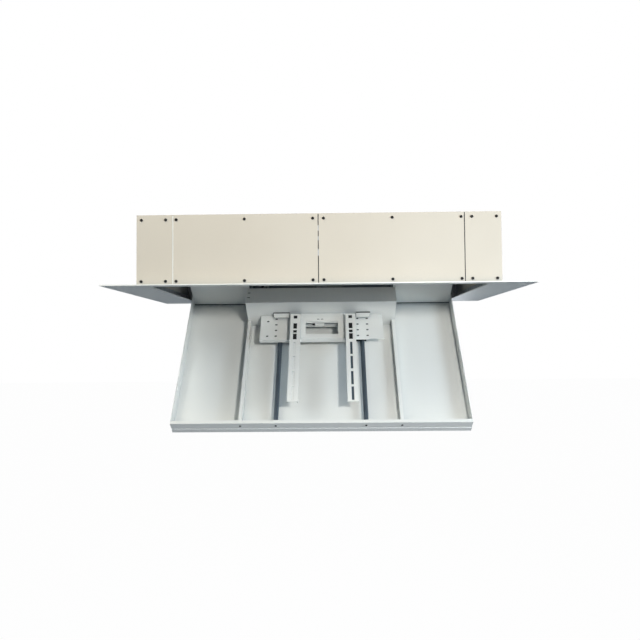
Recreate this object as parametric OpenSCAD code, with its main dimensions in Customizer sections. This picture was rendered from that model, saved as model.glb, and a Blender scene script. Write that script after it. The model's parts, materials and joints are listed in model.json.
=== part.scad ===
// Motorised drop-down ceiling mount for a flat television.
// A sheet-metal housing sits above the ceiling, a flange frames the opening,
// and a tray hinged at the back swings down with the television bracket.
// The origin is the centre of the housing roof's top face, +Z up,
// and the room side, from which the tray is seen, is -Y.

/* [Housing] */
// Width of the housing
housing_w = 1102; // [900:1:1500]
// Depth of the housing, front to back
housing_d = 702; // [640:1:900]
// Height of the housing above the flange
housing_h = 215; // [195:1:300]
// Thickness of roof, panels and end walls
panel_t = 2; // [1.5:0.1:3]
// Width of the fold at each end of the front that closes the end wall
end_fold = 6; // [4:0.5:12]
// Width of the narrow cover panel at each end
end_panel_w = 103; // [80:1:160]
// Gap between neighbouring cover panels
panel_gap = 3; // [1:0.5:5]
// Thickness of the frame rails
rail_t = 3; // [2:0.5:5]
// Height of the frame rails
rail_h = 25; // [18:1:34]
// Distance of the hanging holes from the roof's side edges
hang_inset_x = 101; // [51:5:251]
// Distance of the hanging holes from the roof's front and back edges
hang_inset_y = 101; // [71:5:201]
// Radius of the hanging holes
hang_r = 5.5; // [4:0.5:7]

/* [Flange] */
// Reach of the flange past each side of the housing
flange_side = 99; // [24:1:299]
// Reach of the flange past the housing's front and back
flange_front = 41; // [19:1:149]
// Thickness of the flange sheet
flange_t = 3; // [2:0.5:5]
// Width of the flange inside each side of the housing
opening_side = 38; // [21:1:121]
// Front edge of the opening, behind the housing front
opening_lap = 4; // [3:0.5:8]

/* [Hinge] */
// Angle by which the tray stands open in the resting pose
flap_open = 52; // [40:1:70]
// Hinge axis, in front of the housing's back face
hinge_inset = 87; // [83:1:89]
// Hinge axis above the underside of the flange
hinge_lift = 16; // [15:0.5:20]
// Hinge axis behind the hinge wall of the tray
hinge_back = 29; // [27:0.5:32]
// Radius of the hinge shaft
shaft_r = 8; // [6:0.5:9]
// Radial clearance in running fits
run_gap = 0.05; // [0.02:0.01:0.1]
// Wall of the hinge bushes
bush_wall = 3; // [2:0.5:4]

/* [Drive] */
// Gear module
gear_module = 2; // [1.5:0.25:2]
// Teeth on the full circle of the sector
sector_n = 72; // [60:4:72]
// Teeth on the pinion
pinion_n = 18; // [16:1:20]
// Direction of the pinion from the hinge axis
pinion_dir = 102; // [98:1:106]
// Width of the sector
sector_t = 12; // [8:1:16]
// Radius of the motor
motor_r = 30; // [24:1:34]
// Length of the motor
motor_len = 150; // [100:1:200]

/* [Tray] */
// Clearance between the tray and each side of the opening
tray_side_gap = 9; // [5:0.5:14]
// Clearance between the tray's free end and the front of the opening
tray_end_gap = 7; // [6:1:82]
// Height of the tray's side walls and end wall
wall_h = 48; // [30:1:50]
// Sheet thickness of the tray and its frame
sheet_t = 2; // [1.5:0.1:3]
// Length of the tray behind the hinge wall
tray_back = 50; // [44:0.5:52]
// Height of the hinge walls of the side bays
hinge_wall_h = 110; // [80:1:120]
// Height of the lip of the outer skin at the free end
skin_lip_h = 15; // [8:1:22]

/* [Spine] */
// Half width of the spine frame over its ribs
spine_half = 276; // [250:1:300]
// Width of the lip on each rib
rib_lip = 11; // [8:1:16]
// Height of the ribs above the tray
rib_h = 47; // [34:1:47]
// Height of the spine floor above the tray
spine_floor = 17; // [10:1:24]
// Height of the spine head above the tray
head_h = 148; // [125:1:160]
// Distance of the head's lower face from the hinge wall
head_front = 126; // [110:1:135]
// Length of the head along the tray
head_len = 72; // [60:1:78]

/* [Television carriage] */
// Radius of the guide rods
rod_r = 8; // [6:0.5:9]
// Distance of each guide rod from the middle
rod_x = 151; // [140:1:160]
// Height of the rod axis above the tray
rod_n = 41; // [34:1:46]
// Front face of the carriage plate above the tray
carriage_n = 80; // [72:1:90]
// Half width of the carriage plate
carriage_half = 225; // [205:1:240]
// Sideways setting of the carriage plate
carriage_shift = 2; // [0:0.5:4]
// Length of the carriage plate along the tray
carriage_len = 119; // [110:1:140]
// Front face of the bracket arms above the tray
arm_n = 112; // [104:1:125]
// Length of the bracket arms
arm_len = 381; // [340:1:400]
// Width of the bracket arms
arm_w = 36.5; // [30:0.5:40]
// Distance between the bracket arms
arm_spacing = 200; // [190:1:210]
// Sideways setting of the arm pair on the carriage
arm_shift = 7; // [0:0.5:12]

/* [Hidden] */

// How far a cutting solid runs past the face that it cuts
over = 1;
// Small clearance between pieces that may not touch
air = 0.3;
$fn = 48;

// Levels of the housing
flange_top = -housing_h;
flange_under = -housing_h - flange_t;
front_y = -housing_d / 2;
back_y = housing_d / 2;
side_x = housing_w / 2;
hinge_y = back_y - hinge_inset;
hinge_z = flange_under + hinge_lift;
hang_x = housing_w - 2 * hang_inset_x;
hang_y = housing_d - 2 * hang_inset_y;
flange_w = housing_w + 2 * flange_side;
flange_d = housing_d + 2 * flange_front;
opening_w = housing_w - 2 * opening_side;

// Levels of the tray, measured along it from the hinge wall and up from its inner face
skin_t = sheet_t;
tray_half = opening_w / 2 - tray_side_gap;
hinge_up = hinge_lift - sheet_t - skin_t;
opening_front = front_y + opening_lap;
tray_len = hinge_y - hinge_back - opening_front - tray_end_gap;
tray_turn_r = norm([tray_back - hinge_back, hinge_lift]);
opening_back = hinge_y + tray_turn_r + 2 * rail_t - sheet_t;

// Colours
cream = [0.87, 0.85, 0.78];
white = [0.93, 0.93, 0.9];
steel = [0.62, 0.63, 0.65];
alloy = [0.48, 0.5, 0.53];
slate = [0.25, 0.3, 0.36];
black = [0.08, 0.08, 0.09];
brass = [0.72, 0.6, 0.32];

// Screws of the cover panels
screw_r = 4.5;
screw_head = 3;
screw_shank_r = 2.2;
screw_outer = 8.5;
screw_inner = 15;
screw_inner_end = 20.5;
screw_edge = 13;
small_fn = 24;

// A quarter turn and a full turn
quarter = 90;
full_turn = 360;

// Fits the children, drawn along the closed tray as [x, -along, up], to the open tray
module on_tray() {
    translate([0, hinge_y, hinge_z])
        rotate([flap_open, 0, 0])
            translate([0, -hinge_back, -hinge_up])
                children();
}

// A block from corner to corner in the housing's own axes
module block(low, high) {
    translate(low) cube(high - low);
}

// A block on the tray: across, along from the hinge wall, up from the inner face
module slab(across, along, up) {
    translate([across[0], -along[1], up[0]])
        cube([across[1] - across[0], along[1] - along[0], up[1] - up[0]]);
}

// A round bar on the tray along its length
module bar_along(x, along, n, r) {
    translate([x, -along[1], n])
        rotate([-quarter, 0, 0])
            cylinder(h = along[1] - along[0], r = r);
}

// A round bar that stands on the tray
module bar_up(x, u, up, r) {
    translate([x, -u, up[0]]) cylinder(h = up[1] - up[0], r = r);
}

// A flat outline in the side view, front to back and up, extruded across
module side_outline(x0, x1) {
    translate([x0, 0, 0])
        rotate([quarter, 0, quarter])
            linear_extrude(x1 - x0)
                children();
}

// A round bar across, at a point of the side view
module bar_across(x0, x1, y, z, r) {
    translate([x0, y, z]) rotate([0, quarter, 0]) cylinder(h = x1 - x0, r = r);
}

// Roof and its hanging points
hang_points = [for (sx = [-1, 1], sy = [-1, 1]) [sx * hang_x / 2, sy * hang_y / 2]];
hanger_size = 70;
hanger_t = 4;
module roof_plate() color(cream) difference() {
    block([-side_x, front_y, -panel_t], [side_x, back_y, 0]);
    for (p = hang_points)
        translate([p[0], p[1], -panel_t - over]) cylinder(h = panel_t + 2 * over, r = hang_r);
}

module hanger_plates() color(steel) for (p = hang_points) difference() {
    block([p[0] - hanger_size / 2, p[1] - hanger_size / 2, -panel_t - hanger_t],
          [p[0] + hanger_size / 2, p[1] + hanger_size / 2, -panel_t]);
    translate([p[0], p[1], -panel_t - hanger_t - over])
        cylinder(h = hanger_t + 2 * over, r = hang_r);
}

// End walls with a fold at the front and at the back
module end_wall() color(cream) {
    block([side_x - panel_t, front_y, flange_top], [side_x, back_y, -panel_t]);
    for (y = [front_y, back_y - panel_t])
        block([side_x - end_fold, y, flange_top], [side_x - panel_t, y + panel_t, -panel_t]);
}
module end_wall_right() end_wall();
module end_wall_left() mirror([1, 0, 0]) end_wall();

// Cover panels, left edge and right edge of each
panel_low = flange_top + panel_t / 2;
panel_end_x = side_x - end_fold;
panel_seam_x = panel_end_x - end_panel_w - panel_gap / 2;
panel_edges = [-panel_end_x, -panel_seam_x, 0, panel_seam_x, panel_end_x];
panel_spans = [for (i = [0 : 3])
    [panel_edges[i] + (i > 0 ? panel_gap / 2 : 0), panel_edges[i + 1] - (i < 3 ? panel_gap / 2 : 0)]];
function screw_ends(span, inner) = span[1] > 0
    ? [span[0] + inner, span[1] - screw_outer]
    : [span[0] + screw_outer, span[1] - inner];
function screw_columns(i) = i == 0 || i == 3
    ? screw_ends(panel_spans[i], screw_inner_end)
    : let (ends = screw_ends(panel_spans[i], screw_inner)) [ends[0], (ends[0] + ends[1]) / 2, ends[1]];
screw_rows = [-panel_t - screw_edge, flange_top + screw_edge];

module front_panel(i) color(cream) difference() {
    block([panel_spans[i][0], front_y, panel_low], [panel_spans[i][1], front_y + panel_t, -panel_t]);
    for (x = screw_columns(i), z = screw_rows)
        translate([x, front_y + panel_t + over, z])
            rotate([quarter, 0, 0]) cylinder(h = panel_t + 2 * over, r = screw_shank_r, $fn = small_fn);
}
module front_panel_end_left() front_panel(0);
module front_panel_left() front_panel(1);
module front_panel_right() front_panel(2);
module front_panel_end_right() front_panel(3);

// Power inlet in the right rear panel
inlet_x = 330;
inlet_z = -90;
inlet_w = 48;
inlet_h = 28;
inlet_depth = 26;
inlet_rim = 5;
socket_half = [inlet_w / 2 - inlet_rim, inlet_h / 2 - inlet_rim];
pin_r = 2;
pin_pitch = 14;
module rear_panel(x0, x1) block([x0, back_y - panel_t, panel_low], [x1, back_y, -panel_t]);
module rear_panel_left() color(cream) rear_panel(-panel_end_x, -panel_gap / 2);
module rear_panel_right() color(cream) difference() {
    rear_panel(panel_gap / 2, panel_end_x);
    block([inlet_x - inlet_w / 2 - air, back_y - panel_t - over, inlet_z - inlet_h / 2 - air],
          [inlet_x + inlet_w / 2 + air, back_y + over, inlet_z + inlet_h / 2 + air]);
}
module power_inlet() color(black) {
    difference() {
        union() {
            block([inlet_x - inlet_w / 2, back_y - inlet_depth, inlet_z - inlet_h / 2],
                  [inlet_x + inlet_w / 2, back_y, inlet_z + inlet_h / 2]);
            block([inlet_x - inlet_w / 2 - inlet_rim, back_y, inlet_z - inlet_h / 2 - inlet_rim],
                  [inlet_x + inlet_w / 2 + inlet_rim, back_y + panel_t, inlet_z + inlet_h / 2 + inlet_rim]);
        }
        block([inlet_x - socket_half[0], back_y - inlet_depth + inlet_rim, inlet_z - socket_half[1]],
              [inlet_x + socket_half[0], back_y + panel_t + over, inlet_z + socket_half[1]]);
    }
    for (i = [-1, 0, 1])
        translate([inlet_x + i * pin_pitch, back_y - inlet_depth + inlet_rim, inlet_z])
            rotate([-quarter, 0, 0]) cylinder(h = inlet_depth - 2 * inlet_rim, r = pin_r, $fn = small_fn);
}

// Frame rails: an upright leg behind the panels and a flat leg under the roof or on the flange
rail_foot = 30;
rail_foot_back = 42;
inner_x = side_x - panel_t;
inner_front = front_y + panel_t;
inner_back = back_y - panel_t;
rail_end_y = inner_front + rail_foot + air;
rail_back_y = inner_back - rail_foot_back - air;
module top_rails() color(steel) {
    for (s = [0, 1]) mirror([0, s, 0]) {
        block([-inner_x + rail_h, inner_front, -panel_t - rail_h],
              [inner_x - rail_h, inner_front + rail_t, -panel_t]);
        block([-inner_x + rail_h, inner_front + rail_t, -panel_t - rail_t],
              [inner_x - rail_h, inner_front + rail_foot, -panel_t]);
    }
    for (s = [0, 1]) mirror([s, 0, 0]) {
        block([inner_x - rail_t, rail_end_y, -panel_t - rail_h], [inner_x, -rail_end_y, -panel_t]);
        block([inner_x - rail_foot, rail_end_y, -panel_t - rail_t],
              [inner_x - rail_t, -rail_end_y, -panel_t]);
    }
}
module base_rails() color(steel) {
    block([-inner_x + rail_h, inner_front, flange_top],
          [inner_x - rail_h, opening_front, flange_top + rail_h]);
    block([-inner_x + rail_h, inner_back - rail_t, flange_top],
          [inner_x - rail_h, inner_back, flange_top + rail_h]);
    block([-inner_x + rail_h, inner_back - rail_foot_back, flange_top],
          [inner_x - rail_h, inner_back - rail_t, flange_top + rail_t]);
    for (s = [0, 1]) mirror([s, 0, 0]) {
        block([inner_x - rail_t, rail_end_y, flange_top], [inner_x, rail_back_y, flange_top + rail_h]);
        block([inner_x - rail_foot, rail_end_y, flange_top],
              [inner_x - rail_t, rail_back_y, flange_top + rail_t]);
    }
}

// Corner posts and the straps behind the panel seams
post = rail_h;
strap_w = 44;
module corner_posts() color(steel)
    for (sx = [0, 1], sy = [0, 1]) mirror([sx, 0, 0]) mirror([0, sy, 0]) difference() {
        block([-inner_x, inner_front, flange_top], [-inner_x + post, inner_front + post, -panel_t]);
        block([-inner_x + rail_t, inner_front + rail_t, flange_top - over],
              [-inner_x + post + over, inner_front + post + over, -panel_t + over]);
    }
module seam_straps() color(steel) {
    for (x = [-panel_seam_x, 0, panel_seam_x])
        block([x - strap_w / 2, inner_front, flange_top + rail_h],
              [x + strap_w / 2, inner_front + rail_t, -panel_t - rail_h]);
    block([-strap_w / 2, inner_back - rail_t, flange_top + rail_h],
          [strap_w / 2, inner_back, -panel_t - rail_h]);
}

// Flange ring around the opening
module ceiling_flange() color(white) difference() {
    block([-flange_w / 2, -flange_d / 2, flange_under], [flange_w / 2, flange_d / 2, flange_top]);
    block([-opening_w / 2, opening_front, flange_under - over],
          [opening_w / 2, opening_back, flange_top + over]);
}

// Screws of the front panels: a low head outside and a shank that ends in the rail
module panel_screws() color(black)
    for (i = [0 : 3], x = screw_columns(i), z = screw_rows)
        translate([x, front_y, z]) rotate([quarter, 0, 0]) {
            cylinder(h = screw_head, r = screw_r, $fn = small_fn);
            translate([0, 0, -panel_t]) cylinder(h = panel_t, r = screw_shank_r - air / 2, $fn = small_fn);
        }

// Hinge pedestals stand on the rear of the flange and hold the bushes
pedestal_gap = 6;
pedestal_w = 24;
pedestal_x0 = spine_half + pedestal_gap;
pedestal_x1 = pedestal_x0 + pedestal_w;
bush_r = shaft_r + run_gap + bush_wall;
eye_rise = 0.55;
eye_r = hinge_lift - eye_rise;
pedestal_h = 60;
web_y0 = opening_back + rail_t;
module pedestal() color(steel) difference() {
    union() {
        side_outline(pedestal_x0, pedestal_x1)
            polygon([[hinge_y, hinge_z - shaft_r], [web_y0, flange_top],
                     [inner_back - rail_t, flange_top + rail_t], [inner_back - rail_t, hinge_z + pedestal_h],
                     [web_y0, hinge_z + pedestal_h], [hinge_y, hinge_z + eye_r]]);
        bar_across(pedestal_x0, pedestal_x1, hinge_y, hinge_z, eye_r);
    }
    bar_across(pedestal_x0 - over, pedestal_x1 + over, hinge_y, hinge_z, bush_r);
    block([pedestal_x0 - over, inner_back - rail_foot_back, flange_top - over],
          [pedestal_x1 + over, inner_back, flange_top + rail_t]);
}
module pedestal_right() pedestal();
module pedestal_left() mirror([1, 0, 0]) pedestal();
module bush() color(brass) difference() {
    bar_across(pedestal_x0, pedestal_x1, hinge_y, hinge_z, bush_r);
    bar_across(pedestal_x0 - over, pedestal_x1 + over, hinge_y, hinge_z, shaft_r + run_gap);
}
module bush_right() bush();
module bush_left() mirror([1, 0, 0]) bush();

// Gear outlines: involute flanks at the given pressure angle
pressure_angle = 20;
backlash = 0.2;
addendum = gear_module;
dedendum = 1.25 * gear_module;
flank_steps = 5;
radian = full_turn / 2 / PI;
function involute(r, base) = r <= base ? 0 : sqrt(r * r / (base * base) - 1) * radian - acos(base / r);
function half_tooth(r, pitch, n) =
    quarter / n + involute(pitch, pitch * cos(pressure_angle)) - involute(r, pitch * cos(pressure_angle))
    - backlash / 2 / pitch * radian;
function polar(r, a) = [r * cos(a), r * sin(a)];
function flank_radii(pitch) = let (root = pitch - dedendum, low = max(root, pitch * cos(pressure_angle)))
    concat([root], [for (i = [0 : flank_steps]) low + (pitch + addendum - low) * i / flank_steps]);
function tooth(pitch, n, a) = let (rs = flank_radii(pitch), last = len(rs) - 1)
    concat([for (i = [0 : last]) polar(rs[i], a - half_tooth(rs[i], pitch, n))],
           [for (i = [0 : last]) polar(rs[last - i], a + half_tooth(rs[last - i], pitch, n))]);
function join(lists) = [for (l = lists) each l];

spare_teeth = 2;
sector_pitch = gear_module * sector_n / 2;
pinion_pitch = gear_module * pinion_n / 2;
pinion_y = hinge_y + (sector_pitch + pinion_pitch) * cos(pinion_dir);
pinion_z = hinge_z + (sector_pitch + pinion_pitch) * sin(pinion_dir);
sector_step = full_turn / sector_n;
teeth_before = round((quarter - flap_open) / sector_step) + spare_teeth;
teeth_after = round(flap_open / sector_step) + spare_teeth;
sector_inset = 40;
sector_x = -spine_half + sector_inset;
hub_r = hinge_up - 2 * air;
web_holes = [-26, 7, 40];
web_hole_place_share = 0.6;
web_hole_share = 0.14;
module gear_sector() color(steel) difference() {
    union() {
        side_outline(sector_x, sector_x + sector_t) translate([hinge_y, hinge_z]) polygon(concat([[0, 0]],
            join([for (k = [-teeth_before : teeth_after - 1])
                tooth(sector_pitch, sector_n, pinion_dir + (k + 1 / 2) * sector_step)])));
        bar_across(sector_x - sector_t / 2, sector_x + sector_t, hinge_y, hinge_z, hub_r);
    }
    bar_across(sector_x - sector_t, sector_x + 2 * sector_t, hinge_y, hinge_z, shaft_r);
    for (a = web_holes)
        let (at = polar(web_hole_place_share * sector_pitch, pinion_dir + a))
            bar_across(sector_x - over, sector_x + sector_t + over,
                       hinge_y + at[0], hinge_z + at[1], web_hole_share * sector_pitch);
}

// Motor, worm gearbox and its bracket
output_r = 6;
pinion_side = 3;
pinion_x0 = sector_x - pinion_side;
pinion_x1 = sector_x + sector_t + pinion_side;
bracket_t = 4;
bracket_x = pinion_x1 + 2 * air;
box_x0 = bracket_x + bracket_t;
box_len = 66;
box_half = 38;
lid_t = 4;
gear_screw_r = 3;
gear_screw_h = 3;
lid_screws_x_share = [0.15, 0.85];
lid_screws_y_share = [-0.75, 0.75];
switch_dirs = [24, 148];
switch_size = [10, 20, 10];
switch_gap = 1.2;
switch_r = sector_pitch + addendum + switch_size[2] / 2 + switch_gap;
toe_turn = 8;
bracket_bore_gap = 2;
toe_dir = switch_dirs[1] + toe_turn;
function bracket_toe(r) = [hinge_y + r * cos(toe_dir), hinge_z + r * sin(toe_dir)];
module drive_pinion() color(steel) difference() {
    side_outline(pinion_x0, pinion_x1) translate([pinion_y, pinion_z])
        polygon(join([for (k = [0 : pinion_n - 1])
            tooth(pinion_pitch, pinion_n, pinion_dir + full_turn / 2 + k * full_turn / pinion_n)]));
    bar_across(pinion_x0 - over, pinion_x1 + over, pinion_y, pinion_z, output_r);
}
module output_shaft() color(steel)
    bar_across(pinion_x0 - lid_t, box_x0 + box_len / 2, pinion_y, pinion_z, output_r);
module motor_bracket() color(steel) difference() {
    side_outline(bracket_x, box_x0)
        polygon([[pinion_y - box_half - lid_t, pinion_z],
                 bracket_toe(switch_r + switch_size[2] / 2),
                 bracket_toe(switch_r - switch_size[2] / 2),
                 [pinion_y + box_half, pinion_z - box_half - lid_t],
                 [web_y0, flange_top + rail_t],
                 [inner_back - rail_t, flange_top + rail_t],
                 [inner_back - rail_t, pinion_z + box_half],
                 [pinion_y - box_half - lid_t, pinion_z + box_half]]);
    bar_across(bracket_x - over, box_x0 + over, pinion_y, pinion_z, output_r + bracket_bore_gap);
}
module gearbox_casing() color(alloy) difference() {
    block([box_x0, pinion_y - box_half, pinion_z - box_half],
          [box_x0 + box_len, pinion_y + box_half, pinion_z + box_half - lid_t]);
    bar_across(box_x0 - over, box_x0 + box_len / 2 + 2 * air, pinion_y, pinion_z, output_r + run_gap);
}
module gearbox_lid() color(alloy)
    block([box_x0, pinion_y - box_half, pinion_z + box_half - lid_t],
          [box_x0 + box_len, pinion_y + box_half, pinion_z + box_half]);
module gearbox_screws() color(black)
    for (fx = lid_screws_x_share, fy = lid_screws_y_share)
        translate([box_x0 + fx * box_len, pinion_y + fy * box_half, pinion_z + box_half])
            cylinder(h = gear_screw_h, r = gear_screw_r, $fn = small_fn);
cap_len = 14;
module motor_body() color(black)
    bar_across(box_x0 + box_len, box_x0 + box_len + motor_len - cap_len, pinion_y, pinion_z, motor_r);
module motor_cap() color(black)
    bar_across(box_x0 + box_len + motor_len - cap_len, box_x0 + box_len + motor_len,
               pinion_y, pinion_z, motor_r - panel_t);

// Limit switches on the bracket, outside the sector's rim
module limit_switches() color(black)
    for (a = switch_dirs)
        translate([bracket_x, hinge_y, hinge_z]) rotate([a, 0, 0])
            translate([-switch_size[0], switch_r - switch_size[2] / 2, -switch_size[1] / 2])
                cube([switch_size[0], switch_size[2], switch_size[1]]);

// Control box on the rear panel
control_x = [80, 250];
control_depth = 62;
control_z = [-150, -60];
control_wall = 2.5;
control_lid_t = 3;
module control_box() color(black) difference() {
    block([control_x[0], inner_back - control_depth, control_z[0]], [control_x[1], inner_back, control_z[1]]);
    block([control_x[0] + control_wall, inner_back - control_depth - over, control_z[0] + control_wall],
          [control_x[1] - control_wall, inner_back - control_wall, control_z[1] - control_wall]);
}
module control_box_lid() color(black)
    block([control_x[0], inner_back - control_depth - control_lid_t, control_z[0]],
          [control_x[1], inner_back - control_depth, control_z[1]]);

// Hinge shaft with its collars outside the pedestals
collar_r = 13;
collar_w = 10;
collar_gap = 1;
shaft_end = 4;
shaft_half = pedestal_x1 + collar_gap + collar_w + shaft_end;
module hinge_shaft() color(steel) bar_across(-shaft_half, shaft_half, hinge_y, hinge_z, shaft_r);
module shaft_collars() color(steel) for (s = [0, 1]) mirror([s, 0, 0]) difference() {
    bar_across(pedestal_x1 + collar_gap, pedestal_x1 + collar_gap + collar_w, hinge_y, hinge_z, collar_r);
    bar_across(pedestal_x1, shaft_half, hinge_y, hinge_z, shaft_r);
}

// Notches of the tray and its skin around the pedestals
notch_x0 = spine_half + air;
notch_x1 = shaft_half + air;
notch_u = -8;
module back_notches() for (s = [0, 1]) mirror([s, 0, 0])
    slab([notch_x0, notch_x1], [-tray_back - over, notch_u], [-sheet_t - skin_t - over, over]);

// Tray: floor, side walls and end wall with a returned lip
end_lip = 12;
module flap_tray() color(white) on_tray() difference() {
    union() {
        slab([-tray_half, tray_half], [-tray_back, tray_len], [-sheet_t, 0]);
        for (s = [0, 1]) mirror([s, 0, 0]) slab([tray_half - sheet_t, tray_half], [0, tray_len], [0, wall_h]);
        slab([-tray_half + sheet_t, tray_half - sheet_t], [tray_len - sheet_t, tray_len], [0, wall_h]);
        slab([-tray_half + sheet_t, tray_half - sheet_t], [tray_len - end_lip, tray_len - sheet_t],
             [wall_h - sheet_t, wall_h]);
    }
    back_notches();
}
module outer_skin() color(white) on_tray() difference() {
    union() {
        slab([-tray_half, tray_half], [-tray_back, tray_len + skin_t], [-sheet_t - skin_t, -sheet_t]);
        slab([-tray_half, tray_half], [tray_len, tray_len + skin_t], [-sheet_t, skin_lip_h]);
    }
    back_notches();
}

// Walls that close the side bays at the hinge end
seam_gap = 2.5;
module hinge_wall() color(white) on_tray()
    slab([spine_half, tray_half - sheet_t], [0, sheet_t], [seam_gap, hinge_wall_h]);
module hinge_wall_right() hinge_wall();
module hinge_wall_left() mirror([1, 0, 0]) hinge_wall();

// Spine: a channel with raised floor and lipped ribs
rib_x = spine_half - rib_lip;
spine_end = tray_len - end_lip - air;
module spine_channel() color(white) on_tray() {
    slab([-rib_x, rib_x], [head_front - head_len, spine_end], [spine_floor - sheet_t, spine_floor]);
    for (s = [0, 1]) mirror([s, 0, 0]) {
        slab([rib_x, rib_x + sheet_t], [head_front, spine_end], [0, rib_h]);
        slab([rib_x + sheet_t, spine_half], [head_front, spine_end], [rib_h - sheet_t, rib_h]);
    }
}

// Side plates of the spine head, carried back to the hinge shaft
lug_r = hinge_up;
lug_w = 6;
lug_shoulder = [-lug_r * sin(pressure_angle), lug_r * cos(pressure_angle)];
module spine_side() color(white) on_tray() difference() {
    union() {
        side_outline(spine_half - sheet_t, spine_half)
            polygon([[-head_front, 0], [-head_front, head_h], [head_len - head_front, head_h],
                     [hinge_back + lug_shoulder[0], hinge_up + lug_shoulder[1]],
                     [hinge_back + lug_shoulder[1], hinge_up], [hinge_back + lug_shoulder[1], 0]]);
        bar_across(spine_half - lug_w, spine_half, hinge_back, hinge_up, lug_r);
    }
    bar_across(spine_half - lug_w - over, spine_half + over, hinge_back, hinge_up, shaft_r);
}
module spine_side_right() spine_side();
module spine_side_left() mirror([1, 0, 0]) spine_side();

// Folded cover of the spine head: room face, lower face and upper face
head_xs = [-spine_half + sheet_t, spine_half - sheet_t];
head_back = head_front - head_len;
head_slot = [10, 3];
head_slot_x = 5;
head_slots_share = [0.3, 0.62];
module spine_head() color(white) on_tray() difference() {
    union() {
        slab(head_xs, [head_back, head_front], [head_h - sheet_t, head_h]);
        slab(head_xs, [head_front - sheet_t, head_front], [spine_floor, head_h - sheet_t]);
        slab(head_xs, [head_back, head_back + sheet_t], [spine_floor, head_h - sheet_t]);
    }
    for (f = head_slots_share)
        slab([-spine_half + head_slot_x, -spine_half + head_slot_x + head_slot[0]],
             [head_back + head_len * f, head_back + head_len * f + head_slot[1]],
             [head_h - sheet_t - over, head_h + over]);
}

// Guide rods, their upper blocks and lower saddles
rod_block_w = 34;
rod_block_len = 12;
rod_top = head_front + air;
rod_end = spine_end - air;
rod_block_wall = 4;
rod_block_h = rod_n + rod_r + rod_block_wall;
saddle_len = 18;
module guide_rod(x) color(slate) on_tray() bar_along(x, [rod_top, rod_end], rod_n, rod_r);
module guide_rod_left() guide_rod(-rod_x);
module guide_rod_right() guide_rod(rod_x);
module rod_blocks() color(steel) on_tray() for (x = [-rod_x, rod_x]) difference() {
    slab([x - rod_block_w / 2, x + rod_block_w / 2], [head_front, head_front + rod_block_len],
         [spine_floor, rod_block_h]);
    bar_along(x, [head_front - over, head_front + rod_block_len + over], rod_n, rod_r);
}
module rod_saddles() color(white) on_tray() for (x = [-rod_x, rod_x]) difference() {
    slab([x - rod_r, x + rod_r], [rod_end - saddle_len, rod_end], [spine_floor, rod_n]);
    bar_along(x, [rod_end - saddle_len - over, rod_end + over], rod_n, rod_r);
}

// Screws seen on the end wall: at the ribs and at the rods
tray_screw_r = 3.5;
tray_screw_h = 2;
tray_screw_xs = [-spine_half + rib_lip / 2, -rod_x, rod_x, spine_half - rib_lip / 2];
module tray_screws() color(black) on_tray()
    for (x = tray_screw_xs)
        translate([x, -tray_len, (wall_h + skin_lip_h) / 2]) rotate([quarter, 0, 0])
            cylinder(h = tray_screw_h, r = tray_screw_r, $fn = small_fn);

// Bracket arms, left and right of the window
arm_xs = [arm_shift - arm_spacing / 2, arm_shift + arm_spacing / 2];

// Carriage plate with two wings and a window, and a lower flange that ends at the right arm
carriage_gap = 2;
carriage_u0 = head_front + carriage_gap;
carriage_u1 = carriage_u0 + carriage_len;
carriage_xs = [carriage_shift - carriage_half, carriage_shift + carriage_half];
carriage_flange = 14;
wing_drop = 3;
wing_rise = 4;
wing_step = 54;
window_left = 36;
window_right = 45;
window_top = 39;
window_low = 19;
window_x = [arm_xs[0] + window_left, arm_xs[1] - window_right];
window_u = [carriage_u0 + window_top, carriage_u1 - window_low];

// Slots in the wings: columns from the plate's edges, rows along it
wing_slot = [9, 6];
column_outer = 27;
column_middle = 58;
column_inner = 93;
row_top = 20;
row_low = 18;
row_outer = 31;
row_count = 4;
row_pitch = (carriage_len - row_top - row_low) / (row_count - 1);
wing_rows = [for (i = [0 : row_count - 1]) row_top + i * row_pitch];
wing_slots = concat([for (r = wing_rows) [carriage_xs[0] + column_middle, r]],
                    [for (r = [row_outer, carriage_len - row_low]) [carriage_xs[0] + column_outer, r]],
                    [for (c = [column_middle, column_inner], r = wing_rows) [carriage_xs[1] - c, r]]);
module wing_slot_cut(x, u) {
    up = [carriage_n - sheet_t - over, carriage_n + over];
    r = wing_slot[1] / 2;
    reach = wing_slot[0] / 2 - r;
    slab([x - reach, x + reach], [u - r, u + r], up);
    for (s = [-1, 1]) bar_up(x + s * reach, u, up, r);
}
module carriage_plate() color(white) on_tray() difference() {
    union() {
        translate([0, 0, carriage_n - sheet_t]) linear_extrude(sheet_t)
            polygon([[carriage_xs[0], -carriage_u1], [carriage_xs[1] - wing_step, -carriage_u1],
                     [carriage_xs[1] - wing_step, -carriage_u1 + wing_rise],
                     [carriage_xs[1], -carriage_u1 + wing_rise],
                     [carriage_xs[1], -carriage_u0 - wing_drop],
                     [carriage_xs[1] - tab_inset, -carriage_u0],
                     [carriage_xs[0] + tab_inset, -carriage_u0],
                     [carriage_xs[0], -carriage_u0 - wing_drop]]);
        slab([carriage_xs[0], arm_xs[1]], [carriage_u1 - sheet_t, carriage_u1],
             [carriage_n - carriage_flange, carriage_n - sheet_t]);
    }
    slab(window_x, window_u, [carriage_n - sheet_t - over, carriage_n + over]);
    for (w = wing_slots) wing_slot_cut(w[0], carriage_u0 + w[1]);
}

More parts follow.
